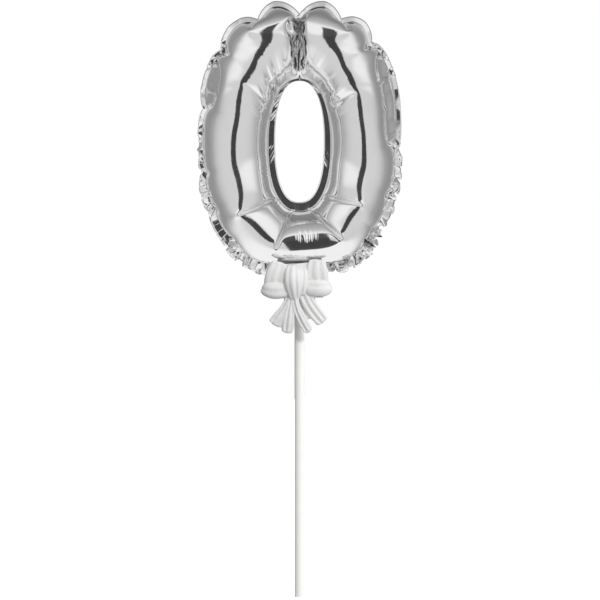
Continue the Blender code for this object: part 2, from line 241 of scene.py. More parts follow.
def add_floor():
    bm = bmesh.new()
    bmesh.ops.create_circle(bm, cap_ends=True, segments=96, radius=6.0)
    mesh = mesh_from("floor", bm)
    floor = placed("floor", mesh)
    floor.location.z = -0.0002
    paint = bpy.data.materials.new("floor")
    paint.use_nodes = True
    shader = paint.node_tree.nodes["Principled BSDF"]
    shader.inputs["Base Color"].default_value = (0.86, 0.86, 0.86, 1.0)
    shader.inputs["Roughness"].default_value = 0.9
    shader.inputs["Specular IOR Level"].default_value = 0.0
    shader.inputs["Emission Color"].default_value = (1.0, 1.0, 1.0, 1.0)
    shader.inputs["Emission Strength"].default_value = 0.9
    mesh.materials.append(paint)
    floor.visible_glossy = False
    floor.visible_diffuse = False


def add_light(name, place, target, size, power):
    data = bpy.data.lights.new(name, "AREA")
    data.shape = "DISK"
    data.size = size
    data.energy = power
    light = placed(name, data)
    light.location = place
    light.rotation_euler = (Vector(target) - Vector(place)).to_track_quat("-Z", "Y").to_euler()
    light.visible_glossy = False
    light.visible_camera = False


def add_studio():
    add_camera()
    add_world()
    add_floor()
    add_light("key", (0.75, -2.15, 1.2), (0, 0, 0.12), 0.4, 27.0)
    bpy.context.scene.view_settings.view_transform = "Standard"


# ---------------------------------------------------------------- materials


def new_material(name):
    made = bpy.data.materials.new(name)
    made.use_nodes = True
    n = Nodes(made.node_tree)
    shader = n.new("ShaderNodeBsdfPrincipled")
    n.link(shader.outputs[0], n.new("ShaderNodeOutputMaterial").inputs["Surface"])
    place = n.new("ShaderNodeTexCoord").outputs["Object"]
    return made, n, shader.inputs, place


def bump(n, shader, height, distance, strength):
    node = n.new("ShaderNodeBump")
    node.inputs["Strength"].default_value = strength
    node.inputs["Distance"].default_value = distance
    n.link(height, node.inputs["Height"])
    n.link(node.outputs[0], shader["Normal"])


def foil_material(name, haze=0.0):
    """Metallised film: almost a mirror, with a faint grain from rolling and fine handling wrinkles."""
    made, n, shader, place = new_material(name)
    shader["Metallic"].default_value = 1.0
    tint = n.noise(90.0, 3.0, 0.6, place)
    n.link(n.ramp(tint, [(0.0, 0.80), (1.0, 0.90)]), shader["Base Color"])
    cloudy = n.noise(260.0, 3.0, 0.6, place)
    n.link(n.smooth(cloudy, 0.3, 0.75, 0.055 + haze, 0.12 + haze), shader["Roughness"])
    fine = n.noise(420.0, 3.0, 0.55, place, 0.4)
    bump(n, shader, fine, 0.00004, 0.35)
    return made


def gloss_plastic(name, colour, roughness):
    """Injection-moulded plastic with a little light inside it and a faint orange-peel skin."""
    made, n, shader, place = new_material(name)
    mix = n.new("ShaderNodeMix", data_type="RGBA")
    n.link(n.noise(160.0, 2.0, 0.5, place), mix.inputs["Factor"])
    mix.inputs["A"].default_value = (*[c * 0.975 for c in colour], 1.0)
    mix.inputs["B"].default_value = (*colour, 1.0)
    n.link(mix.outputs["Result"], shader["Base Color"])
    worn = n.noise(380.0, 2.0, 0.5, place)
    n.link(n.smooth(worn, 0.3, 0.7, roughness * 0.85, roughness * 1.2), shader["Roughness"])
    shader["Subsurface Weight"].default_value = 0.35
    shader["Subsurface Radius"].default_value = (1.0, 0.95, 0.9)
    shader["Subsurface Scale"].default_value = 0.0012
    shader["Coat Weight"].default_value = 0.25
    shader["Coat Roughness"].default_value = 0.08
    bump(n, shader, n.noise(700.0, 2.0, 0.5, place), 0.00002, 0.4)
    return made


def stick_material():
    """Extruded tube: fine drawn lines along its length, slightly warm and translucent, with a faint painted
    glow that makes it brighter.
    """
    made, n, shader, place = new_material("stick_plastic")
    lengthwise = n.new("ShaderNodeMapping")
    lengthwise.inputs["Scale"].default_value = (1.0, 1.0, 0.01)
    n.link(place, lengthwise.inputs["Vector"])
    lines = n.noise(2600.0, 3.0, 0.6, lengthwise.outputs[0])
    mix = n.new("ShaderNodeMix", data_type="RGBA")
    n.link(lines, mix.inputs["Factor"])
    mix.inputs["A"].default_value = (0.90, 0.885, 0.865, 1.0)
    mix.inputs["B"].default_value = (0.95, 0.935, 0.915, 1.0)
    n.link(mix.outputs["Result"], shader["Base Color"])
    n.link(n.smooth(n.noise(90.0, 3.0, 0.6, place), 0.3, 0.7, 0.30, 0.42), shader["Roughness"])
    shader["Subsurface Weight"].default_value = 0.1
    shader["Subsurface Scale"].default_value = 0.0015
    # painted glow: a faint emission gives the tube light of its own, so it reads whiter than the lamps alone
    # make it
    shader["Emission Color"].default_value = (1.0, 0.98, 0.96, 1.0)
    shader["Emission Strength"].default_value = 0.04
    bump(n, shader, lines, 0.00002, 0.35)
    return made


def film_material():
    """Clear valve film, a little cloudy where it has been handled."""
    made, n, shader, place = new_material("clear_film")
    shader["Base Color"].default_value = (0.90, 0.92, 0.94, 1.0)
    n.link(n.smooth(n.noise(300.0, 3.0, 0.6, place), 0.3, 0.7, 0.08, 0.25), shader["Roughness"])
    shader["Transmission Weight"].default_value = 0.8
    shader["IOR"].default_value = 1.5
    bump(n, shader, n.noise(500.0, 2.0, 0.5, place), 0.00003, 0.5)
    return made


def elastic_material():
    made, n, shader, place = new_material("elastic")
    mix = n.new("ShaderNodeMix", data_type="RGBA")
    n.link(n.noise(500.0, 3.0, 0.6, place), mix.inputs["Factor"])
    mix.inputs["A"].default_value = (0.74, 0.73, 0.70, 1.0)
    mix.inputs["B"].default_value = (0.84, 0.83, 0.80, 1.0)
    n.link(mix.outputs["Result"], shader["Base Color"])
    shader["Roughness"].default_value = 0.5
    shader["Subsurface Weight"].default_value = 0.3
    shader["Subsurface Scale"].default_value = 0.001
    bump(n, shader, n.noise(900.0, 2.0, 0.5, place), 0.00005, 0.5)
    return made


# ---------------------------------------------------------------- the inflated figure
#
# Each panel is a flat cut-out, welded to the other at its outer edge and round the hole. The film
# can bend and pucker but hardly stretches. Both are solved together as one grid that runs round
# the figure and round the tube, from coarse to fine, while the gas pushes the film outwards.
# Lengths here are from the figure's centre.

FLAT_HOLE = (0.0118, 0.0262, 2.3)
FLAT_EDGE = (0.0530, 0.0690, 2.25)
HOLE = (0.0125, 0.0256, 2.35)
EDGE = (0.0374, 0.0495, 2.45)
HOLE_DROP = 0.0041
OPENING = (0.0095, 0.0236, 2.35)  # the edge of the flat border inside the hole's weld
OPENING_DROP = 0.0025

# Notches of the outer weld between two lobes: degrees from the top, depth in mm, half width in degrees
NOTCHES = (
    (0, 7.0, 4.6), (-19.5, 5.4, 4.0), (19.5, 5.4, 4.0), (-42, 3.2, 3.6), (37, 4.0, 3.4), (-74, 2.0, 3.5),
    (97, 1.8, 3.5), (124, 1.4, 3.0), (142, 1.2, 3.0), (-112, 1.2, 3.0), (-131, 1.4, 3.0), (-147, 1.2, 3.0),
)
# Lobes that stand above the plain outline: degrees from the top, height in mm, half width in degrees
LOBES = (
    (-9.6, 1.7, 8.0), (9.4, 1.7, 8.0), (-30.0, 0.9, 9.0), (28.0, 0.9, 8.0),
    (-58.0, 0.5, 12.0), (64.0, 0.4, 20.0), (-160.0, 1.3, 13.0), (160.0, 1.3, 13.0),
)
# Where the flat border is wider: degrees from the top, share of its width added, half width in degrees
CORNERS = ((-156.0, 1.25, 13.0), (154.0, 1.25, 13.0), (-130.0, 0.55, 14.0), (126.0, 0.6, 16.0))
TOP_PINCH, TOP_PINCH_WIDTH = 0.60, 5.0  # share of the depth, and degrees
CLEFT_HALF_DEPTH = 1.1 * MM
LOBE_SHOULDER = 2.9  # mm from the cleft's strip to the full height of the lobe beside it
PLEAT_COUNT, PLEAT_SPACING, PLEAT_HEIGHT = 5, 1.6, 0.095 * MM  # the spacing in mm
FIRST_GRID = (128, 28)  # points round the figure and round the tube
STIFFNESS_TO_PRESSING = 0.04

# Folds that the film has taken: side (-1 front, 1 back, 0 both), strength, half width in mm, and a
# line in mm from the figure's centre
FOLDS = (
    (0, 7.0, 0.9, ((0, 52), (0, 20))),
    (0, 6.5, 1.0, ((-17.2, 47.5), (-15.2, 41.5))),
    (0, 6.5, 1.0, ((17.2, 47.5), (15.2, 41.5))),
    (0, 4.5, 1.0, ((-32.5, 35.0), (-29.0, 32.0))),
    (0, 4.5, 1.0, ((30.0, 38.0), (27.0, 34.5))),
    (-1, 3.0, 0.6, ((-33.0, 31.0), (-36.4, 10.6))),
    (-1, 3.0, 0.6, ((31.5, 34), (35.4, 15.3), (36.6, -4.2))),
    (-1, 3.3, 0.6, ((-22.6, 19.0), (-14.6, 13.4))),
    (-1, 3.3, 0.6, ((22.2, 15.8), (14.6, 12.4))),
    (-1, 2.3, 0.55, ((-22.0, -30.5), (-12.3, -25.6))),
    (-1, 2.0, 0.5, ((-8.6, -42.6), (-5.3, -32.0))),
    (-1, 2.3, 0.55, ((21.5, -26.8), (12.3, -24.5))),
    (-1, 2.2, 0.5, ((15.8, -39.6), (7.6, -31.0))),
    (1, 2.3, 0.6, ((-19.5, -32.0), (-10.3, -28.6))),
    (1, 2.0, 0.6, ((3.6, -42.5), (2.3, -32.0))),
    (1, 2.3, 0.6, ((22.0, -24.3), (12.3, -22.5))),
    (1, 2.6, 0.6, ((-21.5, 12.5), (-14.6, 11.5))),
    (1, 2.6, 0.6, ((20.5, 20.3), (14.0, 16))),
)


def outline(count, half_width, half_height, power, drop=0.0):
    """count points evenly spaced round a superellipse, clockwise from its top, as (x, z)."""
    turn = np.linspace(0, math.pi / 2, 2001)
    x = half_width * np.sin(turn) ** (2 / power)
    z = half_height * np.cos(turn) ** (2 / power)
    run = np.concatenate([[0], np.cumsum(np.hypot(np.diff(x), np.diff(z)))])
    want = np.linspace(0, run[-1], count // 4 + 1)
    qx, qz = np.interp(want, run, x), np.interp(want, run, z)
    ahead, back = slice(0, -1), slice(None, 0, -1)
    xs = np.concatenate([qx[ahead], qx[back], -qx[ahead], -qx[back]])
    zs = np.concatenate([qz[ahead], -qz[back], -qz[ahead], qz[back]])
    return np.stack([xs, zs - drop], 1)


def from_top(points):
    return np.degrees(np.arctan2(points[:, 0], points[:, 1]))


def bell(angles, at, wide, power):
    away = (angles - at + 180) % 360 - 180
    return np.exp(-(np.abs(away / wide) ** power))


def notch_depth(points):
    angles = from_top(points)
    return np.max([depth * MM * bell(angles, at, wide, 1.1) for at, depth, wide in NOTCHES], axis=0)


def plain_edge(count):
    """The outer weld without its notches."""
    edge = outline(count, *EDGE)
    angles = from_top(edge)
    height = sum(tall * MM * bell(angles, at, wide, 2) for at, tall, wide in LOBES)
    return edge * (1 + height / np.hypot(edge[:, 0], edge[:, 1]))[:, None]


def outer_weld(count):
    edge = plain_edge(count)
    return edge * (1 - notch_depth(edge) / np.hypot(edge[:, 0], edge[:, 1]))[:, None]


def hole_weld(count):
    """The weld round the hole, which the top fold draws up to a point."""
    hole = outline(count, *HOLE, HOLE_DROP)
    hole[:, 1] += 0.8 * MM * np.clip(1 - np.abs(hole[:, 0]) / (6 * MM), 0, 1) * (hole[:, 1] > 0)
    return hole


def across_share(across):
    """0 at the outer weld, 1 at the weld round the hole."""
    steps = np.arange(across)
    return np.minimum(steps, across - steps) / (across / 2)


def flat_pattern(around, across):
    hole, edge = outline(around, *FLAT_HOLE, HOLE_DROP), outline(around, *FLAT_EDGE)
    share = across_share(across)[None, :, None]
    return edge[:, None] * (1 - share) + hole[:, None] * share


def round_tube(around, across):
    """The figure as a tube of round section, drawn in at the notches and pinched at the top."""
    hole, edge = hole_weld(around), plain_edge(around)
    phase = 2 * math.pi * np.arange(across) / across
    middle, radius = (hole + edge) / 2, (edge - hole) / 2
    depth = np.hypot(radius[:, 0], radius[:, 1])
    out = radius / depth[:, None]
    drawn = notch_depth(edge)[:, None] * np.exp(-(1 - np.cos(phase)) / 0.22)
    pinch = 1 - TOP_PINCH * bell(from_top(middle), 0, TOP_PINCH_WIDTH, 1.2)
    plane = middle[:, None] + radius[:, None] * np.cos(phase)[None, :, None] - out[:, None] * drawn[..., None]
    y = -(depth * pinch)[:, None] * np.sin(phase)
    return np.stack([plane[..., 0], y, plane[..., 1]])


def distance_to_line(x, z, line):
    best = np.full(x.shape, 1.0)
    for (ax, az), (bx, bz) in zip(line, line[1:]):
        dx, dz = (bx - ax) * MM, (bz - az) * MM
        along = np.clip(((x - ax * MM) * dx + (z - az * MM) * dz) / (dx * dx + dz * dz), 0, 1)
        best = np.minimum(best, np.hypot(x - ax * MM - along * dx, z - az * MM - along * dz))
    return best


def gas_push(shape):
    """The push of the gas, turned inwards along the folds."""
    x, y, z = shape
    push = np.ones(x.shape)
    for side, strength, wide, line in FOLDS:
        share = np.exp(-((distance_to_line(x, z, line) / (wide * MM)) ** 2))
        push -= strength * share * ((y * side > 0) if side else 1)
    return push.astype(np.float32)


def pucker(shape):
    """How much the film resists being pressed together: more where it takes small sharp wrinkles."""
    x, _, z = shape
    share = across_share(x.shape[1])[None]
    low = np.clip((0.005 - z) / 0.02, 0, 1)
    near_edge = low * np.exp(-((share / 0.10) ** 2))
    shoulders = np.exp(-(((np.abs(x) - 0.012) / 0.006) ** 2) - ((z - 0.017) / 0.008) ** 2)
    return STIFFNESS_TO_PRESSING + 0.20 * near_edge + 0.45 * shoulders


def flatness(shape):
    """How far the film keeps the flat pattern's lengths, and so its spare length, from 0 to 1."""
    x, _, z = shape
    share = across_share(x.shape[1])[None]
    angle = np.abs(np.degrees(np.arctan2(x, z)))
    bottom = np.clip((angle - 118) / 20, 0, 1) * np.clip((share - 0.30) / 0.3, 0, 1)
    top = np.clip((58 - angle) / 20, 0, 1)
    top = top * (0.7 * np.clip((share - 0.55) / 0.25, 0, 1) + 0.5 * np.exp(-((share / 0.30) ** 2)))
    rim = np.clip((0.012 - z) / 0.03, 0, 1) * np.exp(-((share / 0.10) ** 2))
    return np.clip(0.06 + 0.85 * bottom + top + 0.30 * rim, 0, 1)


class Film:
    """Points joined by links that resist stretching fully and being pressed together a little."""

    def __init__(self, points):
        self.points = points.reshape(3, -1).astype(np.float32)
        self.speed = np.zeros_like(self.points)
        self.links = []

    def link(self, first, second, rest, stretch, squeeze):
        kinds = (np.int32, np.int32, np.float32, np.float32, np.float32)
        parts = (first, second, rest, np.full(rest.shape, stretch), squeeze)
        self.links.append(tuple(np.ascontiguousarray(p, k) for p, k in zip(parts, kinds)))

    def hold_lengths(self):
        points = self.points
        for first, second, rest, stretch, squeeze in self.links:
            apart = points[:, second] - points[:, first]
            length = np.sqrt(np.einsum("ij,ij->j", apart, apart)) + 1e-9
            over = length - rest
            apart *= 0.5 * np.where(over > 0, stretch, squeeze) * over / length
            points[:, first] += apart
            points[:, second] -= apart

    def settle(self, steps, force, held, goal, pull, damping=0.97, fastest=0.6 * MM):
        """force() gives each step's push. The held points are drawn towards their goal."""
        for _ in range(steps):
            before = self.points.copy()
            self.points += self.speed + force()
            self.points[:, held] += pull * (goal - self.points[:, held])
            self.hold_lengths()
            self.speed = (self.points - before) * damping
            most = np.abs(self.speed).max()
            if most > fastest:
                self.speed *= fastest / most


def grid_links(film, around, across, rest_of, squeeze, bend, closed=True):
    """Links along, across and diagonally, and weak ones two steps long that resist bending."""
    ids = np.arange(around * across).reshape(around, across)
    row, column = np.indices((around, across))
    for du, dv, stretch, stiff in (
        (1, 0, 1.0, squeeze), (0, 1, 1.0, squeeze), (1, 1, 0.6, 0.6 * squeeze), (1, -1, 0.6, 0.6 * squeeze),
        (2, 0, 0.0, bend), (0, 2, 0.0, bend),
    ):
        to = np.roll(ids, (-du, -dv), (0, 1))
        rest = rest_of(ids.ravel(), to.ravel()).reshape(ids.shape)
        usable = np.ones(ids.shape, bool)
        if closed and dv == 2:
            # the film isn't bent but joined at the two welds
            usable &= (column != across - 1) & (column != across // 2 - 1)
        if not closed:
            usable &= (column + dv < across) & (column + dv >= 0)
        step = row // du if du else column // dv
        for parity in (0, 1):
            pick = usable & (step % 2 == parity)
            film.link(ids[pick], to[pick], rest[pick], stretch, np.broadcast_to(stiff, ids.shape)[pick])


def finer(shape):
    """Twice the points each way, on a smooth curve through the old ones."""
    for axis in (1, 2):
        between = 9 * (shape + np.roll(shape, -1, axis)) - np.roll(shape, 1, axis) - np.roll(shape, -2, axis)
        shape = np.stack([shape, between / 16], axis + 1).reshape(
            [size * 2 if k == axis else size for k, size in enumerate(shape.shape)]
        )
    return shape


def surface_push(film, around, across, amount, field):
    def force():
        grid = film.points.reshape(3, around, across)
        u = np.roll(grid, -1, 1) - np.roll(grid, 1, 1)
        v = np.roll(grid, -1, 2) - np.roll(grid, 1, 2)
        normal = np.stack([
            u[2] * v[1] - u[1] * v[2], u[0] * v[2] - u[2] * v[0], u[1] * v[0] - u[0] * v[1]
        ])
        normal *= amount * field / np.sqrt((normal * normal).sum(0)).mean()
        return normal.reshape(3, -1)

    return force


def inflate(stages):
    """Solves the figure; each stage is (steps, push, bending, how firmly the outer weld is held)."""
    around, across = FIRST_GRID
    draw = np.random.default_rng(7)
    shape = round_tube(around, across)
    shape = shape + draw.normal(0, 5e-5, shape.shape)
    for stage, (steps, amount, bend, hold) in enumerate(stages):
        if stage:
            shape = finer(shape)
            around, across = around * 2, across * 2
        smooth = round_tube(around, across)
        flat = flat_pattern(around, across).reshape(-1, 2)
        tube = smooth.reshape(3, -1)
        keep_flat = flatness(smooth).ravel()

        def rest_of(first, second):
            on_flat = np.hypot(*(flat[second] - flat[first]).T)
            on_tube = np.sqrt(((tube[:, second] - tube[:, first]) ** 2).sum(0))
            return on_tube * (1 - keep_flat[first]) + on_flat * keep_flat[first]

        film = Film(shape)
        grid_links(film, around, across, rest_of, pucker(shape), bend)
        ids = np.arange(around * across).reshape(around, across)
        held = np.concatenate([ids[:, across // 2], ids[:, 0]])
        welds = np.concatenate([hole_weld(around), outer_weld(around)])
        goal = np.stack([welds[:, 0], np.zeros(len(welds)), welds[:, 1]]).astype(np.float32)
        pull = np.repeat([0.3, hold], around).astype(np.float32)
        film.settle(steps, surface_push(film, around, across, amount, gas_push(shape)), held, goal, pull)
        shape = film.points.reshape(3, around, across).astype(float)
    return shape


def calm_sides(shape):
    """Evens out small waves along the tube, away from its folds and welds."""
    around, across = shape.shape[1:]
    tube = round_tube(around, across)
    waves = shape - tube
    reach = around // 32
    weights = np.exp(-((np.arange(-reach, reach + 1) / (reach * 0.45)) ** 2))
    even = sum(w * np.roll(waves, k - reach, 1) for k, w in enumerate(weights)) / weights.sum()
    x, y, z = tube
    far_from_folds = np.ones(x.shape)
    for side, _, _, line in FOLDS:
        near = np.exp(-((distance_to_line(x, z, line) / (3.0 * MM)) ** 2))
        far_from_folds *= 1 - near * ((y * side > 0) if side else 1)
    share = across_share(across)[None]
    sides = np.clip((0.034 - np.abs(z + 0.004)) / 0.010, 0, 1) * np.clip((0.93 - share) / 0.1, 0, 1)
    blend = 0.9 * far_from_folds * sides * np.clip((share - 0.14) / 0.12, 0, 1)
    return shape + blend * (even - waves)


def crumple(run, draw, spacing, low, high, flat=0.0):
    """Facets along run: a share of them flat and the others tilted by turns, with sharp folds between."""
    length = run[-1] + run[1]
    knots, sizes, sign, start = [], [], 1.0, 0.0
    while start < length - 0.002:
        near = np.searchsorted(run, start) % len(run)
        wide = min(spacing[near] * draw.uniform(0.6, 1.5), length - start)
        size = draw.uniform(-0.08, 0.08) if draw.uniform() < flat else sign * draw.uniform(low, high)
        knots += [start + 0.18 * wide, start + 0.82 * wide]
        sizes += [size - 0.05, size + 0.05]
        sign = -sign
        start += wide
    return lambda at: np.interp(at % length, knots, sizes, period=length)


def closely_spaced(shape):
    """Twice the points round the figure."""
    between = 9 * (shape + np.roll(shape, -1, 1)) - np.roll(shape, 1, 1) - np.roll(shape, -2, 1)
    return np.stack([shape, between / 16], 2).reshape(3, -1, shape.shape[2])


def lift_crest(shape):
    """Moves the upper tube's crest outwards, so that it falls away steeply to the outer weld."""
    around, across = shape.shape[1:]
    hole, edge = hole_weld(around), plain_edge(around)
    out = (edge - hole) / np.linalg.norm(edge - hole, axis=1)[:, None]
    angle = np.abs(from_top((edge + hole) / 2))
    amount = np.interp(angle, (0, 18, 36, 72), (1.2, 1.2, 0.3, 0.0))[:, None] * MM
    amount = amount * np.sin(math.pi * across_share(across))[None] ** 1.5
    moved = shape.copy()
    moved[0] += out[:, :1] * amount
    moved[2] += out[:, 1:] * amount
    heights = np.array((0, 8, 13, 18.6, 24, 30, 34, 37, 40, 43, 46, 50)) * MM
    aside = np.interp(moved[2], heights, (0, -0.6, -1.2, -2.2, -1.5, -1.3, -0.8, 1.2, 4.2, 3.6, 1.0, 0)) * MM
    ridge = np.interp(moved[2], (0.018, 0.030, 0.041), (0.0220, 0.0190, 0.0125))
    aside *= np.exp(-(((np.abs(moved[0]) - ridge) / 0.0078) ** 2))
    moved[0] += np.sign(moved[0]) * aside * np.clip((across_share(across) - 0.08) / 0.2, 0, 1)
    return moved


def length_along(line):
    """The run of each point from the first one, of a line (3, count)."""
    return np.concatenate([[0], np.cumsum(np.linalg.norm(np.diff(line, axis=1), axis=0))])


def cleft_depth(shape, draw):
    """How far the film is drawn in at the top: to a narrow flat strip, with the lobes rising beside it."""
    x, y, z = shape
    levels = np.linspace(0.018, 0.054, 31)
    sway = np.interp(z, levels, np.cumsum(draw.uniform(-0.09, 0.09, 31))) * MM
    off = np.abs(x + 0.5 * MM - sway) / MM
    half = np.interp(z, (0.021, 0.025, 0.030, 0.036, 0.041, 0.047), (0.1, 0.35, 0.8, 0.75, 0.4, 0.35))
    half = half * np.interp(z, levels, draw.uniform(0.75, 1.25, 31))
    rise = np.clip((off - half) / LOBE_SHOULDER, 0, 1)
    rise = 1 - (1 - rise) ** 2.4
    rise = 1 - (1 - rise) * np.clip((z - 0.019) / 0.005, 0, 1)
    creased = np.clip((z - 0.036) / 0.006, 0, 1) * np.interp(z, levels, draw.uniform(-0.25, 0.25, 31)) * MM
    strip = np.minimum(np.abs(y), CLEFT_HALF_DEPTH + creased * off)
    return (np.abs(y) - strip) * (1 - rise)


def pleats_under_hole(shape):
    """Five sharp pleats, each with a long and a short slope, on the front of the lower tube."""
    x, y, z = shape
    teeth = (x / MM - 0.06 * (z / MM + 38) + 0.6) / PLEAT_SPACING
    part = teeth % 1
    slopes = np.where(part < 0.8, part / 0.8, (1 - part) / 0.2) * ((teeth > 0) & (teeth < PLEAT_COUNT))
    return PLEAT_HEIGHT * slopes * np.exp(-(((z + 0.0388) / 0.0032) ** 4)) * (y < 0)


def seam_facets(shape, draw):
    """Short facets where the lower film runs into the outer weld, drawn apart for the two panels."""
    x, y, z = shape
    around = x.shape[0]
    share = across_share(x.shape[1])[None]
    run = length_along(shape[:, :, 0])
    angle = np.abs(np.degrees(np.arctan2(x, z)))
    low = np.clip((angle - 96) / 20, 0, 1) * np.exp(-(((share - 0.07) / 0.045) ** 2))
    outward = np.zeros(x.shape)
    for face in (-1, 1):
        coarse = crumple(run, draw, np.full(around, 0.0034), 0.3, 1.0, 0.3)
        fine = crumple(run, draw, np.full(around, 0.0017), 0.2, 1.0, 0.3)
        at = run[:, None] + face * 0.010 * share
        outward += (np.sign(y) == face) * low * (0.30 * coarse(at) + 0.12 * fine(at)) * MM
    return outward


def corner_wrinkles(shape, draw):
    """Wrinkles that run out from the hole's upper corners, drawn apart for the two panels."""
    x, y, z = shape
    around, across = x.shape
    share = across_share(across)[None]
    run = length_along(shape[:, :, across // 2])
    turn = np.abs(np.degrees(np.arctan2(x, z + 0.002)))
    corner = bell(turn, 38, 24, 4) * np.exp(-(((share - 0.76) / 0.14) ** 2))
    outward = np.zeros(x.shape)
    for face in (-1, 1):
        wrinkles = crumple(run, draw, np.full(around, 0.0021), 0.3, 1.0, 0.2)
        at = run[:, None] + face * 0.004 * (1 - share)
        outward += (np.sign(y) == face) * corner * 0.45 * MM * wrinkles(at)
    return outward


def carve_details(shape):
    """Adds what is too fine for the solver. The order of the random draws matters."""
    draw = np.random.default_rng(21)
    x, y, z = shape
    inward = cleft_depth(shape, draw)
    outward = pleats_under_hole(shape)
    outward = outward + seam_facets(shape, draw)
    outward = outward + corner_wrinkles(shape, draw)
    return np.stack([x, y + np.sign(y) * (outward - inward), z])


def figure_shape():
    stages = [(900, 1.0e-5, 0.02, 0.10), (500, 3e-6, 0.03, 0.10), (260, 8e-7, 0.05, 0.10)]
    shape = calm_sides(inflate(stages))
    return carve_details(closely_spaced(lift_crest(shape)))


def add_panel(name, node, shape, paint, low, high):
    """One panel of the figure: the grid's columns from low to high."""
    columns = np.arange(low, high + 1) % shape.shape[2]
    part = shape[:, :, columns] + np.array([0, 0, CENTRE_Z])[:, None, None]
    ids = np.arange(part.shape[1] * part.shape[2]).reshape(part.shape[1:])
    panel = mesh_object(name, part.reshape(3, -1).T, grid_faces(ids), paint)
    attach(panel, "balloon")
    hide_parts(node)


def finish_border(name, rows, paint):
    """Makes the film of a border from its grid of points, (around, across, 3)."""
    ids = np.arange(rows.shape[0] * rows.shape[1]).reshape(rows.shape[:2])
    border = mesh_object(name, rows.reshape(-1, 3), grid_faces(ids), paint, smooth=False)
    thick = border.modifiers.new("two films", "SOLIDIFY")
    thick.thickness = 0.00012
    thick.offset = 0.0
    apply_modifiers(border)
    border.data.shade_smooth()
    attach(border, "balloon")


def twice_as_fine(line):
    """Adds a point half-way between neighbours of a closed line, (count, ...)."""
    between = (9 * (line + np.roll(line, -1, 0)) - np.roll(line, 1, 0) - np.roll(line, -2, 0)) / 16
    return np.stack([line, between], 1).reshape(len(line) * 2, -1)


def add_outer_border(shape, paint):
    """The flat border beyond the outer weld: smooth on the top lobes and crumpled lower down."""
    draw = np.random.default_rng(11)
    seam = twice_as_fine(shape[:, :, 0].T)
    inner = twice_as_fine(shape[:, :, shape.shape[2] // 2].T)
    step = np.linalg.norm(np.roll(seam, -1, 0) - seam, axis=1)
    run = np.concatenate([[0], np.cumsum(step)[:-1]])
    tangent = np.roll(seam, -2, 0) - np.roll(seam, 2, 0)
    tangent[:, 1] = 0
    tangent /= np.linalg.norm(tangent, axis=1)[:, None]
    out = np.cross(tangent, (0, 1, 0))
    out *= np.sign((out * (seam - inner)).sum(1))[:, None]
    degrees = from_top(seam[:, [0, 2]])
    corner = sum(more * bell(degrees, at, wide, 4) for at, more, wide in CORNERS)
    angle = np.abs(degrees)
    low = np.clip((angle - 78) / 25, 0, 1)
    flap = np.clip((angle - 36) / 8, 0, 1) * np.clip((84 - angle) / 10, 0, 1)
    top = np.clip((40 - angle) / 6, 0, 1)
    big = crumple(run, draw, 0.0062 - 0.0016 * low, 0.5, 1.0, 0.45)
    small = crumple(run, draw, np.full(len(run), 0.0030), 0.2, 1.0, 0.5)
    slant = crumple(run, draw, np.full(len(run), 0.0045), 0.2, 1.0)(run)
    length = 1 + 0.15 * top + low * (0.22 - 0.30 * small(run + 0.001))
    length = (np.clip(length, 0.6, 1.5) + corner) * WELD_WIDTH
    rows = []
    for share in np.linspace(0, 1, 6):
        reach = share * length
        at = run + slant * reach * 1.1
        tilt = 4 + 21 * top + (6 + 42 * low + 24 * flap) * big(at) + (1 + 22 * low + 6 * flap) * small(at)
        tilt = np.radians(np.clip(tilt, -75, 80))[:, None]
        rows.append(seam + reach[:, None] * (out * np.cos(tilt) + np.array([0, 1, 0]) * np.sin(tilt)))
    finish_border("outer_weld_border", np.stack(rows, 1) + np.array([0, 0, CENTRE_Z]), paint)


def add_hole_border(shape, paint):
    """The flat border inside the hole's weld, crinkled at the sides."""
    draw = np.random.default_rng(5)
    seam = twice_as_fine(shape[:, :, shape.shape[2] // 2].T)
    opening = outline(len(seam), *OPENING, OPENING_DROP)
    edge = np.stack([opening[:, 0], np.zeros(len(opening)), opening[:, 1]], 1)
    run = np.arange(len(seam)) / len(seam) * 0.118
    crinkled = np.clip((seam[:, 2] + 0.019) / 0.008, 0, 1)
    fine = crumple(run, draw, np.full(len(run), 0.0019), 0.3, 1.0, 0.45)
    often = np.clip(crumple(run, draw, np.full(len(run), 0.009), 0.2, 1.0, 0.2)(run) + 0.45, 0.1, 1)
    rows = []
    for share in np.linspace(0, 1, 7):
        row = seam * (1 - share) + edge * share
        at = run + 0.0034 * share * np.sign(seam[:, 0])
        row[:, 1] += crinkled * often * 0.22 * fine(at) * MM * min(1.0, 2 * share)
        rows.append(row)
    finish_border("hole_weld_border", np.stack(rows, 1) + np.array([0, 0, CENTRE_Z]), paint)


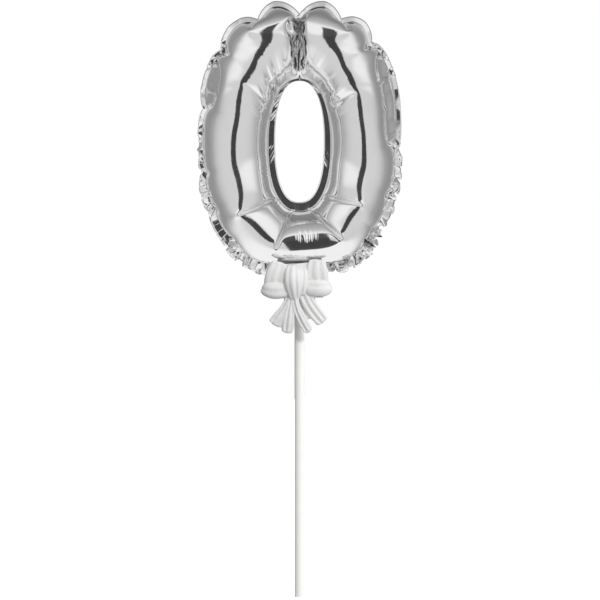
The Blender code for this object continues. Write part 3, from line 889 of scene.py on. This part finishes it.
def add_neck(paint):
    """The filling neck: two half tubes with flat edges, gathered into fine pleats by the band."""
    draw = np.random.default_rng(9)
    phases = draw.uniform(0, 2 * math.pi, 3)
    heights = np.linspace(CLIP_HIGH.z - NECK_BELOW, CLIP_HIGH.z + NECK_ABOVE, 61)
    gathered = np.exp(-(((heights - BAND_Z) / 0.0035) ** 2))
    upper = np.clip((heights - CLIP_HIGH.z) / 0.006, 0, 1)
    for side, word in ((-1, "front"), (1, "back")):
        turn = np.linspace(0, math.pi, 97)
        rows = []
        for z, pull, rise in zip(heights, gathered, upper):
            pleats = np.sin(17 * turn + phases[0] + side) * 0.6 + np.sin(29 * turn + phases[1] + 40 * z) * 0.4
            radius = NECK_RADIUS - 0.00009 + 0.00008 * pleats * (0.3 + 0.7 * pull)
            x = -np.cos(turn) * radius
            y = side * (np.sin(turn) * radius * (1 - 0.3 * rise**2) + 0.0001)
            flange = np.linspace(RECESS_HALF_WIDTH - 0.0003, x.max(), 6, endpoint=False)
            wave = 0.00008 * np.sin(900 * z + np.arange(6))
            left = np.stack([-flange, np.full(6, side * 0.00012) + wave, np.full(6, z)], 1)
            right = left[::-1] * (-1, 1, 1)
            rows.append(np.concatenate([left, np.stack([x, y, np.full(x.shape, z)], 1), right]))
        rows = np.stack(rows)
        ids = np.arange(rows.shape[0] * rows.shape[1]).reshape(rows.shape[:2])
        neck = mesh_object(f"neck_{word}", rows.reshape(-1, 3), grid_faces(ids, around=False), paint)
        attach(neck, "balloon")


def add_balloon():
    paint = foil_material("silver_foil")
    crumpled = foil_material("silver_foil_border", haze=0.03)
    shape = figure_shape()
    half = shape.shape[2] // 2
    add_panel("foil_front", "foil_front_panel", shape, paint, 0, half)
    add_panel("foil_back", "foil_back_panel", shape, paint, half, 2 * half)
    add_outer_border(shape, crumpled)
    add_hole_border(shape, crumpled)
    add_neck(crumpled)


# ---------------------------------------------------------------- the bow

# Each ribbon: places (x, y, z, half width, half depth) in mm, and grooves along its front (place
# across from -1 to 1, width as a share of the half width, depth in mm)
RIBBONS = (
    # loops
    (((-7.4, -9.9, 130.6, 2.9, 0.9), (-8.4, -10.0, 127.4, 3.9, 1.5), (-9.4, -9.6, 124.0, 4.2, 1.8),
      (-9.9, -8.4, 121.0, 4.0, 2.0)), ((-0.4, 0.2, 0.35), (0.25, 0.25, 0.5))),
    (((7.2, -9.9, 131.6, 3.1, 0.9), (6.8, -10.0, 128.2, 4.0, 1.5), (7.0, -9.6, 124.9, 4.2, 1.8),
      (7.3, -8.4, 121.8, 4.0, 2.0)), ((-0.5, 0.22, 0.6), (0.3, 0.25, 0.4))),
    (((-13.7, -7.2, 120.4, 1.7, 1.5), (-12.4, -8.6, 119.9, 2.9, 2.6), (-9.3, -9.3, 119.5, 3.3, 3.0),
      (-4.5, -8.8, 119.9, 3.0, 2.6)), ((0.2, 0.3, 0.3),)),
    (((2.6, -8.8, 120.6, 3.0, 2.6), (6.9, -9.3, 120.4, 3.4, 3.0), (10.1, -8.6, 120.6, 3.1, 2.6),
      (11.4, -7.2, 120.9, 1.7, 1.5)), ((-0.25, 0.3, 0.3),)),
    # between the loops, behind the knot, and the web behind the tails
    (((-7.5, -8.2, 127.6, 2.3, 1.4), (-1.5, -8.2, 127.7, 2.3, 1.6), (6.5, -8.2, 128.4, 2.4, 1.4)), ()),
    (((-1.6, -7.6, 118.0, 3.4, 0.9), (-1.6, -7.4, 113.5, 3.4, 0.7), (-1.5, -7.2, 109.8, 1.6, 0.6)), ()),
    (((1.6, -7.8, 118.0, 2.6, 0.9), (2.9, -7.6, 113.5, 2.6, 0.8), (3.9, -7.4, 108.4, 1.5, 0.7)), ()),
    # knot
    (((-2.2, -8.8, 129.1, 2.0, 1.4), (-2.6, -10.6, 126.6, 3.1, 2.8), (-2.6, -11.2, 122.8, 3.4, 3.2),
      (-2.2, -10.5, 119.2, 2.7, 2.6), (-1.8, -9.2, 116.6, 2.0, 1.9)),
     ((-0.45, 0.22, 0.5), (0.35, 0.2, 0.6))),
    (((1.1, -8.4, 128.9, 1.5, 1.2), (1.4, -9.8, 125.8, 1.9, 2.2), (1.1, -10.2, 121.6, 1.9, 2.4),
      (0.5, -9.5, 117.8, 1.6, 1.8)), ((0.1, 0.28, 0.5),)),
    # tails
    (((-2.9, -9.0, 119.0, 1.5, 1.5), (-5.4, -8.9, 113.2, 1.7, 1.4), (-7.9, -8.6, 109.2, 2.4, 1.3),
      (-9.9, -8.2, 106.0, 2.7, 1.0)), ((-0.5, 0.2, 0.9), (0.25, 0.22, 0.4))),
    (((-3.0, -9.2, 117.0, 1.3, 1.4), (-3.8, -9.2, 111.6, 1.7, 1.4), (-4.3, -8.8, 107.2, 2.4, 1.4),
      (-4.9, -8.2, 102.9, 2.2, 1.0)), ((-0.3, 0.2, 0.8), (0.5, 0.2, 0.4))),
    (((-1.9, -9.8, 119.4, 1.3, 1.6), (-1.2, -9.7, 113.6, 1.5, 1.5), (1.0, -9.2, 108.2, 1.9, 1.4),
      (3.8, -8.3, 103.2, 1.8, 1.0)), ((-0.45, 0.24, 1.0), (0.4, 0.2, 0.35))),
    (((1.6, -9.0, 119.4, 2.6, 1.6), (3.7, -8.9, 114.6, 2.7, 1.5), (6.4, -8.5, 110.6, 2.8, 1.4),
      (9.3, -8.1, 107.0, 2.5, 1.0)), ((-0.35, 0.22, 0.8), (0.4, 0.22, 0.6))),
)


def smooth_path(places, count):
    """count points on a smooth curve through the places."""
    given = np.array(places, float)
    given = np.concatenate([2 * given[:1] - given[1:2], given, 2 * given[-1:] - given[-2:-1]])
    along = np.linspace(0, len(places) - 1 - 1e-9, count)
    k = along.astype(int)
    f = (along - k)[:, None]
    a, b, c, d = given[k], given[k + 1], given[k + 2], given[k + 3]
    return 0.5 * (2 * b + (c - a) * f + (2 * a - 5 * b + 4 * c - d) * f**2 + (3 * b - a - 3 * c + d) * f**3)


def ribbon(places, grooves, sections=48, sides=56):
    """A closed ribbon with rounded ends; returns its points and faces."""
    path = smooth_path(places, sections) * MM
    centre, half, deep = path[:, :3], path[:, 3:4], path[:, 4:5]
    ahead = np.gradient(centre, axis=0)
    ahead /= np.linalg.norm(ahead, axis=1)[:, None]
    side = np.cross(ahead, (0, 1, 0))
    way = side.mean(axis=0)
    side *= np.sign(way[0]) if abs(way[0]) > abs(way[2]) else -np.sign(way[2])
    side /= np.linalg.norm(side, axis=1)[:, None]
    front = np.cross(ahead, side)
    front *= -np.sign(front[:, 1:2])
    share = np.linspace(-1, 1, sections)[:, None]
    end = np.sqrt(1 - 0.94 * np.clip((np.abs(share) - 0.84) / 0.16, 0, 1) ** 2)
    turn = np.arange(sides) / sides * 2 * math.pi
    u = np.sign(np.cos(turn)) * np.abs(np.cos(turn)) ** 0.85
    v = np.sign(np.sin(turn)) * np.abs(np.sin(turn)) ** 0.75
    cut = sum(deep_in * MM * np.exp(-(((u - at) / wide) ** 2)) for at, wide, deep_in in grooves)
    depth = end * (deep * v - cut * (v > 0.05) * np.clip(1.15 - np.abs(share) ** 4, 0, 1))
    points = centre[:, None] + (half * end)[:, None] * u[None, :, None] * side[:, None]
    points = points + depth[..., None] * front[:, None]
    ids = np.arange(sections * sides).reshape(sections, sides)
    faces = grid_faces(ids.T).tolist() + [ids[0].tolist(), ids[-1, ::-1].tolist()]
    return points.reshape(-1, 3), faces


def tool(name, bm):
    bmesh.ops.recalc_face_normals(bm, faces=bm.faces)
    return placed(name, mesh_from(name, bm))


def block(low, high):
    bm = bmesh.new()
    bmesh.ops.create_cube(bm, size=1.0)
    for vertex in bm.verts:
        vertex.co = Vector([low[k] + (vertex.co[k] + 0.5) * (high[k] - low[k]) for k in range(3)])
    return bm


def rod(radius, start, end, sides=96):
    """A closed round rod from start to end."""
    bm = bmesh.new()
    start, end = Vector(start), Vector(end)
    turn = (end - start).to_track_quat("Z", "Y").to_matrix().to_4x4()
    place = Matrix.Translation((start + end) / 2) @ turn
    size = {"radius1": radius, "radius2": radius, "depth": (end - start).length}
    bmesh.ops.create_cone(bm, cap_ends=True, segments=sides, matrix=place, **size)
    return bm


def combine(target, operation, tools):
    for shape in tools:
        step = target.modifiers.new(operation, "BOOLEAN")
        step.operation = operation
        step.solver = "EXACT"
        step.object = shape
    apply_modifiers(target)
    for shape in tools:
        bpy.data.objects.remove(shape)


def fused_ribbons():
    """The ribbons and the clip's front block as one soft-edged solid."""
    body = block((-0.0093, -0.0079, CLIP_LOW.z + 0.0003), (0.0093, 0, CLIP_HIGH.z - 0.0003))
    points = [np.array([v.co[:] for v in body.verts])]
    faces = [[v.index for v in face.verts] for face in body.faces]
    body.free()
    for places, grooves in RIBBONS:
        more_points, more_faces = ribbon(places, grooves)
        first = sum(len(p) for p in points)
        points.append(more_points)
        faces += [[first + k for k in face] for face in more_faces]
    mesh = bpy.data.meshes.new("bow")
    mesh.from_pydata(np.concatenate(points).tolist(), [], faces)
    bm = bmesh.new()
    bm.from_mesh(mesh)
    bmesh.ops.recalc_face_normals(bm, faces=bm.faces)
    bm.to_mesh(mesh)
    bm.free()
    bow = placed("bow", mesh)
    fuse = bow.modifiers.new("fuse the ribbons", "REMESH")
    fuse.mode = "VOXEL"
    fuse.voxel_size = BOW_VOXEL
    soften = bow.modifiers.new("soften", "SMOOTH")
    soften.factor = 0.5
    soften.iterations = 3
    apply_modifiers(bow)
    return bow


def add_bow(paint):
    """The moulded bow, with half of the clip's bore and the two pegs at its back."""
    bow = fused_ribbons()
    far = 0.03
    low, high = CLIP_LOW.z - far, CLIP_HIGH.z + far
    combine(bow, "DIFFERENCE", [
        tool("parting", block((-far, PARTING, low), (far, far, high))),
        tool("recess", block((-RECESS_HALF_WIDTH, -RECESS_DEPTH, low), (RECESS_HALF_WIDTH, far, high))),
        tool("bore", rod(CLIP_BORE, (0, 0, low), (0, 0, high))),
    ])
    middle = (CLIP_LOW.z + CLIP_HIGH.z) / 2
    combine(bow, "UNION", [
        tool("peg", rod(PEG_RADIUS, (x, PARTING - 0.0015, middle), (x, PEG_LENGTH, middle), 40))
        for x in (-PEG_X, PEG_X)
    ])
    bow.data.shade_smooth()
    repaint(bow, paint)
    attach(bow, "bow")
    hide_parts("bow_front")


def add_clip(paint):
    """The moulded back half of the bow's clip, with its edges rounded."""
    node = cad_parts["bow_back"]
    bm = bmesh.new()
    bm.from_mesh(node.data)
    bmesh.ops.remove_doubles(bm, verts=bm.verts, dist=2e-6)
    bmesh.ops.dissolve_limit(bm, angle_limit=0.02, verts=bm.verts, edges=bm.edges)
    clip = placed("clip_back", mesh_from("clip_back", bm))
    clip.matrix_world = node.matrix_world
    edges = clip.modifiers.new("rounded edges", "BEVEL")
    edges.width = CLIP_EDGE
    edges.segments = 3
    edges.limit_method = "ANGLE"
    edges.angle_limit = math.radians(40)
    apply_modifiers(clip)
    clip.data.shade_smooth()
    clip.data.set_sharp_from_angle(angle=math.radians(35))
    repaint(clip, paint)
    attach(clip, "holder")
    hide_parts("bow_back")


def paint_node(node, paint):
    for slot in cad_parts[node].material_slots:
        slot.material = paint


def paint_nodes():
    paint_node("stick_tube", stick_material())
    paint_node("stick_socket", gloss_plastic("socket_plastic", (0.86, 0.86, 0.85), 0.3))
    paint_node("neck_band", elastic_material())
    film = film_material()
    paint_node("valve_film_front", film)
    paint_node("valve_film_back", film)


add_studio()
add_balloon()
white = gloss_plastic("bow_plastic", (0.83, 0.83, 0.825), 0.2)
add_bow(white)
add_clip(white)
paint_nodes()
